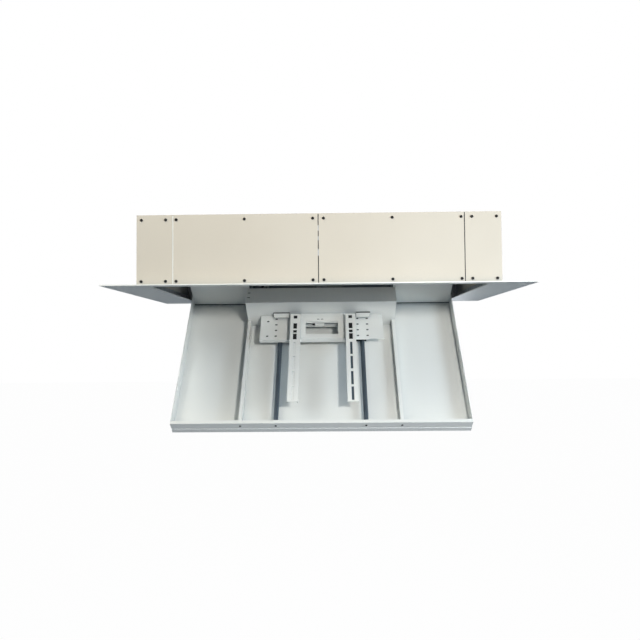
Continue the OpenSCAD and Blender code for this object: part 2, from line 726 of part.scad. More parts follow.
// Raised box between the arms, open at its window
box_rise = 8;
box_n = carriage_n + box_rise;
box_x = [arm_xs[0] + arm_w / 2 + air, arm_xs[1] - arm_w / 2 - air];
box_u = [carriage_u0, carriage_u1];
box_slot = [9, 3];
box_slot_places = [42, 56];
box_slot_rise = 12;
box_slot_u = window_u[0] - box_slot_rise;
module carriage_box() color(white) on_tray() difference() {
    slab(box_x, box_u, [carriage_n, box_n]);
    slab(window_x, window_u, [carriage_n - over, box_n + over]);
    for (u = [[box_u[0], window_u[0]], [window_u[1], box_u[1]]])
        slab([box_x[0] + sheet_t, box_x[1] - sheet_t], [u[0] + sheet_t, u[1] - sheet_t],
             [carriage_n - over, box_n - sheet_t]);
    for (p = box_slot_places)
        slab([window_x[0] + p, window_x[0] + p + box_slot[0]], [box_slot_u, box_slot_u + box_slot[1]],
             [box_n - sheet_t - over, box_n + over]);
}

// Slide blocks behind the carriage plate, with bushes on the rods
slide_in = 23;
slide_out = 15;
slide_len = 26;
slide_top = 14;
slide_low_end = 33;
slide_wall = 3;
slide_us = [carriage_u0 + slide_top, carriage_u1 - slide_low_end - slide_len];
slide_bush_r = rod_r + run_gap + bush_wall;
slide_low = rod_n - slide_bush_r - slide_wall;
module slide_blocks() color(black) on_tray()
    for (s = [0, 1], u = slide_us) mirror([s, 0, 0]) difference() {
        slab([rod_x - slide_in, rod_x + slide_out], [u, u + slide_len], [slide_low, carriage_n - sheet_t]);
        bar_along(rod_x, [u - over, u + slide_len + over], rod_n, slide_bush_r);
    }
module slide_bushes() color(brass) on_tray()
    for (x = [-rod_x, rod_x], u = slide_us) difference() {
        bar_along(x, [u, u + slide_len], rod_n, slide_bush_r);
        bar_along(x, [u - over, u + slide_len + over], rod_n, rod_r + run_gap);
    }

// Cross beam that ties the upper slide blocks, seen along the top of the window
beam_n = 56;
beam_t = 3;
beam_inset = 2;
beam_w = 22;
beam_u = [slide_us[0] + beam_inset, slide_us[0] + beam_inset + beam_w];
beam_xs = [-rod_x + slide_in, rod_x - slide_in];
module cross_beam() color(white) on_tray() {
    slab(beam_xs, beam_u, [beam_n, beam_n + beam_t]);
    slab(beam_xs, [beam_u[0], beam_u[0] + beam_t], [beam_n + beam_t, carriage_n - sheet_t]);
}

// Stop tabs: hooks folded forward from the top edge of both wings, beside the arms
tab_inset = 45;
tab_arm_gap = 5;
tab_n = 10;
tab_len = 22;
tab_slope = 6;
tab_xs = [[carriage_xs[0] + tab_inset, arm_xs[0] - arm_w / 2 - tab_arm_gap],
          [-carriage_xs[1] + tab_inset, -arm_xs[1] - arm_w / 2 - tab_arm_gap]];
module stop_tabs() color(white) on_tray() for (s = [0, 1]) mirror([s, 0, 0]) {
    translate([0, 0, carriage_n + tab_n]) linear_extrude(sheet_t)
        polygon([[tab_xs[s][0], -carriage_u0], [tab_xs[s][1], -carriage_u0],
                 [tab_xs[s][1], -carriage_u0 - tab_len], [tab_xs[s][0] + tab_slope, -carriage_u0 - tab_len]]);
    slab(tab_xs[s], [carriage_u0, carriage_u0 + sheet_t], [carriage_n, carriage_n + tab_n]);
}

// Clamp that holds the carriage: a bracket on the cross beam and its knob
clamp_place = 35;
clamp_w = 33;
clamp_inset = 8;
clamp_len = 14;
clamp_h = 15;
clamp_wall = 6;
clamp_x = [window_x[0] + clamp_place, window_x[0] + clamp_place + clamp_w];
clamp_u = [beam_u[0] + clamp_inset, beam_u[0] + clamp_inset + clamp_len];
knob_r = 7;
knob_len = 9;
knob_pin_r = 2.5;
knob_pin_len = 12;
knob_n = beam_n + beam_t + knob_r + over;
knob_u = (clamp_u[0] + clamp_u[1]) / 2;
knob_flutes = 8;
flute_r = 1.6;
flute_depth = 0.9;
module clamp_bracket() color(white) on_tray() difference() {
    slab(clamp_x, clamp_u, [beam_n + beam_t, beam_n + beam_t + clamp_h]);
    slab([clamp_x[0] + clamp_wall, clamp_x[1] - sheet_t], [clamp_u[0] + sheet_t, clamp_u[1] - sheet_t],
         [beam_n + beam_t + sheet_t, beam_n + beam_t + clamp_h + over]);
    bar_across(clamp_x[0] - over, clamp_x[0] + clamp_wall + over, -knob_u, knob_n, knob_pin_r + run_gap);
}
module clamp_knob() color(black) on_tray() translate([clamp_x[0] - 2 * air - knob_len, 0, 0]) {
    difference() {
        bar_across(0, knob_len, -knob_u, knob_n, knob_r);
        for (i = [0 : knob_flutes - 1])
            let (at = polar(knob_r + flute_r - flute_depth, i * full_turn / knob_flutes))
                bar_across(-over, knob_len + over, at[0] - knob_u, at[1] + knob_n, flute_r);
    }
    bar_across(0, knob_len + knob_pin_len, -knob_u, knob_n, knob_pin_r);
}

// Bracket arms: channels with square holes at the top and long slots below
arm_top = 23.5;
arm_u0 = carriage_u0 + arm_top;
arm_squares_share = [[0.017, 0.056], [0.113, 0.182], [0.197, 0.23], [0.241, 0.311]];
arm_slots_share = [[0.345, 0.487], [0.508, 0.65], [0.678, 0.823], [0.844, 0.985]];
arm_hole_w = 13;
arm_slot_w = 8;
arm_end = arm_u0 + arm_len;
// The side walls are full height at the carriage and low along the slots
arm_taper_share = [0.33, 0.45];
arm_taper_u = [for (s = arm_taper_share) arm_u0 + s * arm_len];
arm_wall = 9;
module arm_cut(x, w, s)
    slab([x - w / 2, x + w / 2], [arm_u0 + s[0] * arm_len, arm_u0 + s[1] * arm_len],
         [arm_n - sheet_t - over, arm_n + over]);
module arm(x) color(white) on_tray() difference() {
    slab([x - arm_w / 2, x + arm_w / 2], [arm_u0, arm_u0 + arm_len], [carriage_n, arm_n]);
    slab([x - arm_w / 2 + sheet_t, x + arm_w / 2 - sheet_t], [arm_u0 - over, arm_u0 + arm_len + over],
         [carriage_n - over, arm_n - sheet_t]);
    for (s = arm_squares_share) arm_cut(x, arm_hole_w, s);
    for (s = arm_slots_share) arm_cut(x, arm_slot_w, s);
    side_outline(x - arm_w / 2 - over, x + arm_w / 2 + over)
        polygon([[-arm_taper_u[0], carriage_n - over], [-arm_taper_u[0], carriage_n],
                 [-arm_taper_u[1], arm_n - arm_wall], [-arm_end - over, arm_n - arm_wall],
                 [-arm_end - over, carriage_n - over]]);
}
module arm_left() arm(arm_xs[0]);
module arm_right() arm(arm_xs[1]);

// Inserts behind the arms' square holes and the bolts that hold them from behind
insert_share = 0.32;
insert_rise = 1;
arm_bolts_share = [0.1, 0.16];
arm_bolt_head_r = 6.5;
arm_bolt_head = 5;
module arm_inserts() color(black) on_tray()
    for (x = arm_xs)
        slab([x - arm_w / 2 + sheet_t, x + arm_w / 2 - sheet_t], [arm_u0, arm_u0 + insert_share * arm_len],
             [carriage_n, arm_n - sheet_t - insert_rise]);
module arm_bolts() color(steel) on_tray()
    for (x = arm_xs, s = arm_bolts_share)
        bar_up(x, arm_u0 + s * arm_len, [carriage_n - sheet_t - arm_bolt_head, carriage_n - sheet_t],
               arm_bolt_head_r);

roof_plate();
hanger_plates();
end_wall_left();
end_wall_right();
front_panel_end_left();
front_panel_left();
front_panel_right();
front_panel_end_right();
rear_panel_left();
rear_panel_right();
top_rails();
base_rails();
corner_posts();
seam_straps();
ceiling_flange();
panel_screws();
pedestal_left();
pedestal_right();
bush_left();
bush_right();
motor_bracket();
gearbox_casing();
gearbox_lid();
gearbox_screws();
motor_body();
motor_cap();
drive_pinion();
output_shaft();
limit_switches();
control_box();
control_box_lid();
power_inlet();
hinge_shaft();
shaft_collars();
gear_sector();
flap_tray();
outer_skin();
hinge_wall_left();
hinge_wall_right();
spine_channel();
spine_side_left();
spine_side_right();
spine_head();
guide_rod_left();
guide_rod_right();
rod_blocks();
rod_saddles();
tray_screws();
carriage_plate();
carriage_box();
slide_blocks();
slide_bushes();
cross_beam();
stop_tabs();
clamp_bracket();
clamp_knob();
arm_left();
arm_right();
arm_inserts();
arm_bolts();
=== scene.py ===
# %% [markdown]
# # A drop-down ceiling mount for a television
#
# A sheet-metal housing hangs above the ceiling. A tray, hinged at the back of the opening, swings
# down out of it and carries a sliding bracket with two slotted arms. The construction model gives
# every sheet, shaft and gear its place, so this lesson is about finish: paint, plating, screws,
# light and the camera. Sizes are in metres.

# %% Load the construction model
import json
import math
import random

import bmesh
import bpy
from mathutils import Matrix, Vector


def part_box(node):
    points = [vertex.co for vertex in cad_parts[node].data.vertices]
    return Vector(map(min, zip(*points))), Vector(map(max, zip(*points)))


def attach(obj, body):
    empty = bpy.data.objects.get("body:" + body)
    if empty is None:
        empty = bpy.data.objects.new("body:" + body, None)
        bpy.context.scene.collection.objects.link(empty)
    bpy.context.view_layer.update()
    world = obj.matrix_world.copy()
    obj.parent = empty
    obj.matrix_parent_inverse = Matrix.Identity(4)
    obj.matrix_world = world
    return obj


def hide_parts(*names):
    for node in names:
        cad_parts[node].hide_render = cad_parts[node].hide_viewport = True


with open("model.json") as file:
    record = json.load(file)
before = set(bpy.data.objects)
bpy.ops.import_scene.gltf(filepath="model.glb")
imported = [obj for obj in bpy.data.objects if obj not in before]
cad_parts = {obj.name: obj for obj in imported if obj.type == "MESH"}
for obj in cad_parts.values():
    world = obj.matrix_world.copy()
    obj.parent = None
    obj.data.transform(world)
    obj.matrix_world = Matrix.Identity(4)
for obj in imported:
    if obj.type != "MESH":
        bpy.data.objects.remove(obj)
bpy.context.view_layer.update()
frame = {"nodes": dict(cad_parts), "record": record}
nodes = frame["nodes"]
record = frame["record"]

# %% How far the tray leans
swing = next(joint for joint in record["behaviour"]["joints"] if joint["name"] == "flap_hinge")
LEAN = math.radians(-swing["range_deg"][0])
print("the tray leans", round(math.degrees(LEAN)), "degrees")

# %% [markdown]
# ## The camera
#
# The object was photographed from the room, almost straight on and from a little below the
# flange, with a moderately wide lens. A camera can be aimed with angles, but a matrix says more
# clearly what is needed: which way is forward, which way is right, and how far the picture is
# rolled.

# %% Camera
CAMERA_PLACE = Vector((0.0346, -2.2611, -0.4036))
CAMERA_YAW = -0.0164
CAMERA_PITCH = 0.0421
CAMERA_ROLL = 0.0085
FOCAL_SHARE = 0.99545
SENSOR = 36.0
CAMERA_REACH = 50.0


def aim(yaw, pitch, roll):
    """The rotation of a camera that looks along +Y, turned, raised and rolled by these angles."""
    forward = Vector((math.sin(yaw), math.cos(yaw), 0))
    right = Vector((math.cos(yaw), -math.sin(yaw), 0))
    up = Vector((0, 0, 1))
    ahead = forward * math.cos(pitch) + up * math.sin(pitch)
    over = up * math.cos(pitch) - forward * math.sin(pitch)
    side = right * math.cos(roll) - over * math.sin(roll)
    top = over * math.cos(roll) + right * math.sin(roll)
    return Matrix((side, top, -ahead)).transposed()


def add_camera():
    data = bpy.data.cameras.new("camera")
    data.sensor_width = SENSOR
    data.lens = SENSOR * FOCAL_SHARE
    data.clip_end = CAMERA_REACH
    camera = bpy.data.objects.new("camera", data)
    bpy.context.scene.collection.objects.link(camera)
    turn = aim(CAMERA_YAW, CAMERA_PITCH, CAMERA_ROLL)
    camera.matrix_world = Matrix.Translation(CAMERA_PLACE) @ turn.to_4x4()
    bpy.context.scene.camera = camera
    return camera


camera = add_camera()
print("lens:", round(camera.data.lens, 2), "mm")

# %% [markdown]
# ## Writing shader maths as sums
#
# A material is a tree of nodes. Wiring a tree by hand hides the idea, so a small class wraps a
# socket and lets Python's own operators add the Math nodes. A second class holds one material
# and has one method for every other kind of node.

# %% Sockets that can be added and multiplied
class Wire:
    """A value on its way through a material."""

    def __init__(self, finish, socket):
        self.finish = finish
        self.socket = socket

    def maths(self, operation, first, second):
        return self.finish.node("ShaderNodeMath", {"operation": operation}, {0: first, 1: second})

    def __add__(self, other):
        return self.maths("ADD", self, other)

    def __sub__(self, other):
        return self.maths("SUBTRACT", self, other)

    def __rsub__(self, other):
        return self.maths("SUBTRACT", other, self)

    def __mul__(self, other):
        return self.maths("MULTIPLY", self, other)

    __radd__ = __add__
    __rmul__ = __mul__


# %% Colours as they show on screen
SCREEN_WHITE = 255
FOOT_END = 0.04045
FOOT_SLOPE = 12.92
CURVE_LIFT = 0.055
CURVE_SCALE = 1.055
CURVE_POWER = 2.4


def linear(*rgb):
    """A colour as it shows on screen, from 0 to 255, as the linear numbers that a shader takes.

    A screen follows a power curve with a short straight foot for the darkest tones.
    """
    shares = [c / SCREEN_WHITE for c in rgb]
    return tuple(c / FOOT_SLOPE if c <= FOOT_END else ((c + CURVE_LIFT) / CURVE_SCALE) ** CURVE_POWER
                 for c in shares)


print("mid grey is", round(linear(128)[0], 3), "in a shader")


# %% One material and its nodes
CORNER_SAMPLES = 6


class Finish:
    """One material: its tree, its shader and the place of each point on the object."""

    def __init__(self, name, metallic=0.0, roughness=0.5, **uniform):
        self.material = bpy.data.materials.new(name)
        self.material.use_nodes = True
        self.tree = self.material.node_tree
        self.shader = self.tree.nodes["Principled BSDF"]
        self.shader.inputs["Metallic"].default_value = metallic
        self.shader.inputs["Roughness"].default_value = roughness
        for socket, value in uniform.items():
            self.shader.inputs[socket.replace("_", " ")].default_value = value
        self.place = self.node("ShaderNodeTexCoord", out="Object")

    def node(self, kind, settings=None, sockets=None, out=0):
        """Adds a node: its settings first, then the values or links of its sockets."""
        made = self.tree.nodes.new(kind)
        for name, value in (settings or {}).items():
            setattr(made, name, value)
        for name, value in (sockets or {}).items():
            self.feed(made.inputs[name], value)
        return Wire(self, made.outputs[out])

    def feed(self, socket, value):
        if isinstance(value, Wire):
            self.tree.links.new(value.socket, socket)
        else:
            socket.default_value = value

    def noise(self, scale, detail=2.0, roughness=0.5, place=None):
        """Soft noise with about scale blobs in a metre."""
        sockets = {"Vector": place or self.place, "Scale": scale, "Detail": detail, "Roughness": roughness}
        return self.node("ShaderNodeTexNoise", None, sockets, out="Fac")

    def cells(self, scale, out):
        """Small cells side by side, each with its own colour and a distance from its middle."""
        return self.node("ShaderNodeTexVoronoi", None, {"Vector": self.place, "Scale": scale}, out=out)

    def step(self, value, low, high):
        """0 below low, 1 above high, and a straight slope between."""
        return self.node("ShaderNodeMapRange", None, {"Value": value, "From Min": low, "From Max": high})

    def mix(self, share, first, second):
        """A colour between two colours."""
        colours = [c if isinstance(c, Wire) else (*c, 1.0) for c in (first, second)]
        sockets = {"Factor": share, 6: colours[0], 7: colours[1]}
        return self.node("ShaderNodeMix", {"data_type": "RGBA"}, sockets, out=2)

    def bump(self, height, distance, strength, under=None):
        """A relief of this height, on top of the one that lies under it."""
        sockets = {"Height": height, "Distance": distance, "Strength": strength}
        if under:
            sockets["Normal"] = under
        return self.node("ShaderNodeBump", None, sockets, out="Normal")

    def corners(self, reach):
        """1 in the open and less where another surface is near."""
        settings = {"samples": CORNER_SAMPLES}
        return self.node("ShaderNodeAmbientOcclusion", settings, {"Distance": reach}, out="AO")

    def grime_and_shade(self, tone, colour, reach, strength, low, high=1.0):
        """The tone, darkened towards colour where other surfaces are within reach, from low on and fully at
        high: painted shade in the powder coat, oil and stains on the metals.
        """
        closed = self.step(1 - self.corners(reach), low, high)
        return self.mix(closed * strength, tone, linear(*colour))

    def wear(self, **sockets):
        """Feeds the shader what changes over the surface."""
        for name, value in sockets.items():
            self.feed(self.shader.inputs[name.replace("_", " ")], value)
        return self.material


# %% [markdown]
# ## Powder coat
#
# The housing and the tray are sprayed with powder and baked. The film pulls itself into soft
# dimples about two millimetres apart, the orange peel, and its tone and gloss drift a little over
# a sheet. Noise from coarse to fine gives the drift of the colour, the drift of the gloss, a faint
# ripple, the dimples and a few specks. Creases and deep hollows also get painted shade: their
# colour is darkened towards a cool blue-grey, which stands for the little light that reaches them.
# Noise is worked out at each point of the object, so unlike a picture of paint it has no seams and
# stays sharp up close.

# %% Powder coat
SPECK = (120, 118, 110)
# The next two colours are painted shade: cool greys mixed into the coat in deep hollows and creases.
HOLLOW_SHADE = (78, 108, 128)
CREASE_SHADE = (70, 86, 98)
CREASE_REACH = 0.006


def powder_coat(name, colour, shade, roughness, sheen, reach, shade_depth):
    """The film on sheet. Hollows narrower than about reach get painted shade, and shade_depth says how much.
    """
    finish = Finish(name, roughness=roughness, Specular_IOR_Level=sheen)
    drift = finish.step(finish.noise(2.3, detail=4.0), 0.3, 0.7)
    speck = finish.step(finish.noise(900.0, detail=1.0), 0.62, 0.8)
    peel = finish.noise(420.0, detail=1.5)
    ripple = finish.noise(38.0)
    tone = finish.mix(drift, linear(*colour), linear(*shade))
    tone = finish.mix(speck * 0.08, tone, linear(*SPECK))
    # Painted shade: the tone is darkened in deep hollows and in creases.
    tone = finish.grime_and_shade(tone, HOLLOW_SHADE, reach, shade_depth, 0.25, 0.95)
    tone = finish.grime_and_shade(tone, CREASE_SHADE, CREASE_REACH, 0.22, 0.35)
    gloss = finish.step(finish.noise(11.0, detail=3.0), 0.2, 0.8) * 0.1 + (roughness - 0.05)
    relief = finish.bump(ripple, 0.0006, 0.12)
    relief = finish.bump(peel, 0.00025, 0.22, under=relief)
    return finish.wear(Base_Color=tone, Roughness=gloss, Normal=relief)


# The last two numbers say how far and how strongly painted shade reaches; the cream coat is shaded deeply
# inside the housing.
def cream_enamel():
    return powder_coat("cream_enamel", (213, 206, 194), (208, 200, 187), 0.6, 0.25, 0.25, 0.85)


def white_enamel():
    return powder_coat("white_enamel", (247, 247, 243), (243, 244, 240), 0.4, 0.5, 0.06, 0.5)


# %% [markdown]
# ## Plated and machined steel
#
# Zinc plating has a faint cloudy spangle. Turned and ground steel has fine parallel lines.
# Both are metals, so their colour is the colour of their reflections, and the lines and clouds
# show best in the roughness. The guide rods have a dark coat over the steel, so they are only
# half metal, and their lines follow the tray's slope.

# %% Steels
OIL = (40, 38, 34)
ZINC_STAIN = (92, 92, 92)


def zinc_steel():
    finish = Finish("zinc_steel", metallic=1.0, roughness=0.42)
    grey = finish.node("ShaderNodeSeparateColor", None, {"Color": finish.cells(90.0, "Color")})
    cloud = finish.noise(26.0, detail=5.0, roughness=0.6)
    tone = finish.mix(grey * 0.5 + cloud * 0.5, linear(150, 154, 160), linear(196, 198, 202))
    tone = finish.grime_and_shade(tone, ZINC_STAIN, 0.02, 0.4, 0.2)
    gloss = cloud * 0.22 + 0.3
    return finish.wear(Base_Color=tone, Roughness=gloss, Normal=finish.bump(cloud, 0.0002, 0.2))


def lined_steel(name, bright, dark, roughness, stretch, turn=0.0, metallic=1.0):
    """Steel with fine lines: stretch is small along the lines and large across them."""
    finish = Finish(name, metallic=metallic, roughness=roughness)
    sockets = {"Vector": finish.place, "Rotation": (turn, 0.0, 0.0), "Scale": stretch}
    lined = finish.node("ShaderNodeMapping", None, sockets)
    lines = finish.noise(260.0, detail=3.0, place=lined)
    film = finish.noise(14.0, detail=4.0)
    tone = finish.mix(lines * 0.6 + film * 0.4, linear(*dark), linear(*bright))
    tone = finish.grime_and_shade(tone, OIL, 0.015, 0.45, 0.25)
    gloss = lines * 0.14 + film * 0.12 + (roughness - 0.12)
    return finish.wear(Base_Color=tone, Roughness=gloss, Normal=finish.bump(lines, 0.00008, 0.25))


def gear_steel():
    return lined_steel("gear_steel", (178, 180, 184), (128, 130, 134), 0.34, (1.0, 0.12, 0.12))


def slate_rod():
    return lined_steel("slate_rod", (106, 118, 130), (72, 84, 94), 0.34, (1.0, 0.03, 1.0), -LEAN, 0.5)


# %% [markdown]
# ## The rest of the bench
#
# Castings are blasted, the motor is sprayed, bushes are pressed from bronze powder, screws are
# black oxide over steel, and small housings are textured plastic. Each gets a grain of its own
# real size, which is what tells the eye how big a thing is.

# %% Castings, bronze, screws and plastic
CAST_STAIN = (70, 70, 70)


def cast_alloy():
    finish = Finish("cast_alloy", metallic=0.9, roughness=0.55)
    grit = finish.noise(700.0, detail=3.0)
    cloud = finish.noise(18.0, detail=3.0)
    tone = finish.mix(cloud, linear(132, 135, 140), linear(160, 163, 168))
    tone = finish.grime_and_shade(tone, CAST_STAIN, 0.02, 0.5, 0.2)
    return finish.wear(Base_Color=tone, Roughness=grit * 0.2 + 0.45, Normal=finish.bump(grit, 0.0003, 0.4))


def motor_enamel():
    finish = Finish("motor_enamel", roughness=0.35, Coat_Weight=0.2)
    peel = finish.noise(500.0)
    dust = finish.step(finish.noise(40.0, detail=5.0), 0.45, 0.8)
    tone = finish.mix(dust * 0.25, linear(38, 39, 42), linear(92, 92, 92))
    return finish.wear(Base_Color=tone, Roughness=dust * 0.2 + 0.3, Normal=finish.bump(peel, 0.0002, 0.2))


def bronze():
    finish = Finish("bronze", metallic=1.0, roughness=0.45)
    grain = finish.noise(1200.0)
    stain = finish.noise(60.0, detail=3.0)
    tone = finish.mix(stain, linear(150, 116, 66), linear(198, 162, 100))
    return finish.wear(Base_Color=tone, Roughness=grain * 0.2 + 0.35, Normal=finish.bump(grain, 0.0001, 0.3))


def black_screw():
    finish = Finish("black_screw", metallic=0.5, roughness=0.4)
    rub = finish.step(finish.noise(300.0, detail=3.0), 0.5, 0.75)
    tone = finish.mix(rub * 0.5, linear(14, 14, 16), linear(52, 52, 56))
    return finish.wear(Base_Color=tone, Roughness=0.5 - rub * 0.15, Normal=finish.bump(rub, 0.00005, 0.2))


def black_plastic():
    finish = Finish("black_plastic", roughness=0.55)
    grain = finish.cells(1400.0, "Distance")
    dust = finish.step(finish.noise(30.0, detail=5.0), 0.5, 0.85)
    tone = finish.mix(dust * 0.2, linear(30, 30, 32), linear(98, 98, 96))
    return finish.wear(Base_Color=tone, Roughness=dust * 0.15 + 0.5, Normal=finish.bump(grain, 0.0001, 0.4))


# %% Paint and plate every part
makers = (cream_enamel, white_enamel, zinc_steel, gear_steel, slate_rod, cast_alloy, motor_enamel, bronze,
          black_screw, black_plastic)
finishes = {maker.__name__: maker() for maker in makers}
slot_of = {part["node"]: part["material_slot"] for part in record["subparts"]}


def dress(piece, slot):
    piece.data.materials.clear()
    piece.data.materials.append(finishes[slot])


for name, node in nodes.items():
    dress(node, slot_of[name])
print("finishes:", ", ".join(sorted(finishes)))

# %% [markdown]
# ## Soft edges
#
# Folded and sawn sheet never has a mathematically sharp edge. A bevel of a few tenths of a
# millimetre catches a thin line of light, as the real edge does. A modifier adds it when the
# picture is made, so the construction mesh stays as it is.

# %% Soft edges
FOLD = 0.0007
TURNED = 0.0004
BEVEL_STEPS = 2
BEVEL_ANGLE = math.radians(50)
SHEET_SLOTS = ("cream_enamel", "white_enamel", "zinc_steel")


def soften(piece, width):
    bevel = piece.modifiers.new("soft_edge", "BEVEL")
    bevel.width = width
    bevel.segments = BEVEL_STEPS
    bevel.limit_method = "ANGLE"
    bevel.angle_limit = BEVEL_ANGLE


for name, node in nodes.items():
    soften(node, FOLD if slot_of[name] in SHEET_SLOTS else TURNED)
print("softened:", len(nodes))

# %% [markdown]
# ## Measuring before making
#
# Small hardware has to sit where the construction model has its holes. So nothing below is placed
# by typed numbers: a node's separate solids are found by walking along their edges, and each one's
# box says where its screw, collar or tab is. What hangs on the tray is measured in the tray's own
# axes, across, back along the tray and up from it, because there everything is square.

# %% The tray's axes, and the boxes of linked points
TRAY = Matrix.Translation(Vector(swing["pos_m"])) @ Matrix.Rotation(LEAN, 4, "X")
WORLD = Matrix.Identity(4)
WELD = 1e-6
DECIMALS = 4


def limits(points):
    """The lowest and the highest corner of a cloud of points."""
    return (Vector(min(p[i] for p in points) for i in range(3)),
            Vector(max(p[i] for p in points) for i in range(3)))


def welded(name, place):
    """A node's mesh in the axes of place, with its double corners made one."""
    mesh = bmesh.new()
    mesh.from_mesh(nodes[name].data)
    mesh.transform(place.inverted())
    bmesh.ops.remove_doubles(mesh, verts=mesh.verts, dist=WELD)
    return mesh


def linked_boxes(starts, neighbours):
    """The box of each set of vertices that lead to one another."""
    seen = set()
    boxes = []
    for start in starts:
        if start in seen:
            continue
        seen.add(start)
        queue = [start]
        points = []
        while queue:
            vert = queue.pop()
            points.append(vert.co.copy())
            fresh = [other for other in neighbours(vert) if other not in seen]
            seen.update(fresh)
            queue += fresh
        boxes.append(limits(points))
    return boxes


# %% The box of a node and of each of its solids
def solids(name, place=WORLD):
    """The box of each separate solid of a node, in the axes of place, from left to right."""
    mesh = welded(name, place)
    boxes = linked_boxes(mesh.verts, lambda vert: [edge.other_vert(vert) for edge in vert.link_edges])
    mesh.free()
    return sorted(boxes, key=lambda box: (round(box[0].x, DECIMALS), box[0].z))


def box_on(name, place=TRAY):
    """The box of a whole node in the axes of place."""
    turn = place.inverted()
    return limits([turn @ vert.co for vert in nodes[name].data.vertices])


print("panel screws:", len(solids("panel_screws")))

# %% [markdown]
# ## Turned and lofted shapes
#
# Screw heads, caps and bands are all stacks of outlines: a circle that grows and shrinks, and
# sometimes turns into a cross or a hexagon. If every outline has the same number of points,
# neighbouring outlines can be joined by plain four-sided faces, and no boolean cut is needed even
# for the recess of a screw.

# %% Outlines
SIDES = 24
CORNER_STEPS = 3
QUARTER = math.pi / 2


def polar(reach, turn):
    return (reach * math.cos(turn), reach * math.sin(turn))


def circle(radius, sides=SIDES):
    return [polar(radius, i * math.tau / sides) for i in range(sides)]


def hexagon(inner):
    """A hexagon by its half width, with points at the same angles as a circle's."""
    ring = []
    for i in range(SIDES):
        turn = i * math.tau / SIDES
        reach = inner / math.cos((turn + math.pi / 6) % (math.pi / 3) - math.pi / 6)
        ring.append(polar(reach, turn))
    return ring


def cross(reach, half):
    """A driver's cross: six points in each quarter."""
    middle = (reach + half) / 2
    quarter = [(reach, 0), (reach, half), (middle, half), (half, half), (half, middle), (half, reach)]
    ring = []
    for k in range(4):
        c = round(math.cos(k * QUARTER))
        s = round(math.sin(k * QUARTER))
        ring += [(x * c - y * s, x * s + y * c) for x, y in quarter]
    return ring


def rectangle(half_x, half_y, round_off):
    """A rectangle with rounded corners."""
    ring = []
    for k, (sx, sy) in enumerate(((1, 1), (-1, 1), (-1, -1), (1, -1))):
        for i in range(CORNER_STEPS + 1):
            x, y = polar(round_off, (k + i / CORNER_STEPS) * QUARTER)
            ring.append((sx * (half_x - round_off) + x, sy * (half_y - round_off) + y))
    return ring


print("points in a circle and in a cross:", len(circle(1)), len(cross(1, 0.2)))

# %% A stack of outlines
SHARP = math.radians(35)


class Piece:
    """One piece of hardware, built from stacks of outlines."""

    def __init__(self):
        self.mesh = bmesh.new()

    def stack(self, place, layers):
        """Layers are (outline, height) in the axes of place, and both ends are closed."""
        rings = []
        for outline, height in layers:
            rings.append([self.mesh.verts.new(place @ Vector((x, y, height))) for x, y in outline])
        for low, high in zip(rings, rings[1:]):
            count = len(low)
            for i in range(count):
                after = (i + 1) % count
                self.mesh.faces.new((low[i], low[after], high[after], high[i]))
        self.mesh.faces.new(list(reversed(rings[0])))
        self.mesh.faces.new(rings[-1])

    def bar(self, place, low, high, round_off):
        """A bar from corner to corner, its long edges along the third axis rounded."""
        middle = (low + high) / 2
        half = (high - low) / 2
        height = high.z - low.z
        ease = round_off / 2
        at = place @ Matrix.Translation((middle.x, middle.y, low.z))
        outline = rectangle(half.x, half.y, round_off)
        inset = rectangle(half.x - ease, half.y - ease, ease)
        self.stack(at, [(inset, 0), (outline, ease), (outline, height - ease), (inset, height)])

    def make(self, name, body, slot, stands_for=()):
        """Turns the stacks into an object that rides on a body and wears a finish."""
        bmesh.ops.recalc_face_normals(self.mesh, faces=self.mesh.faces)
        data = bpy.data.meshes.new(name)
        self.mesh.to_mesh(data)
        self.mesh.free()
        for face in data.polygons:
            face.use_smooth = True
        data.set_sharp_from_angle(angle=SHARP)
        piece = bpy.data.objects.new(name, data)
        bpy.context.scene.collection.objects.link(piece)
        dress(piece, slot)
        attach(piece, body)
        if stands_for:
            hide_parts(*stands_for)
        print(name, "faces:", len(data.polygons))
        return piece


# %% [markdown]
# ## Screws
#
# The cover panels and the tray's end wall are held by low pan heads with a cross recess, the
# gearbox lid by socket heads, and the arms by hexagon bolts. Every real row of screws stands
# turned at random, so each gets its own angle from a seeded generator. The outline of a head is a
# short table of shares: each row has a share of its radius and a share of its height.

# %% Heads
SEED = 7
luck = random.Random(SEED)
PAN_SHARES = [(1.0, 0.0), (1.0, 0.3), (0.94, 0.62), (0.8, 0.86), (0.66, 0.97)]
RECESS_SHARES = (0.55, 0.14)
PIT_SHARES = (0.4, 0.08)
PIT_FLOOR_SHARE = 0.35
CAP_SHARES = [(1.0, 0.0), (1.0, 0.85), (0.9, 1.0)]
SOCKET_SHARES = [(0.5, 1.0), (0.46, 0.3)]
WASHER_SHARE = 0.25
ACROSS_SHARE = 0.78
CHAMFER_SHARES = (0.92, 0.88)


def scaled(outline, radius, height, shares):
    """Layers for a stack, from a table of shares of a radius and of a height."""
    return [(outline(radius * across), height * up) for across, up in shares]


def spun(place):
    """The place, turned about its own axis by a random angle."""
    return place @ Matrix.Rotation(luck.uniform(0, math.tau), 4, "Z")


def pan_head(piece, place, radius, height):
    recess = cross(*[radius * share for share in RECESS_SHARES])
    pit = cross(*[radius * share for share in PIT_SHARES])
    dome = scaled(circle, radius, height, PAN_SHARES)
    piece.stack(spun(place), dome + [(recess, height), (pit, height * PIT_FLOOR_SHARE)])


def socket_head(piece, place, radius, height):
    cap = scaled(circle, radius, height, CAP_SHARES)
    piece.stack(spun(place), cap + scaled(hexagon, radius, height, SOCKET_SHARES))


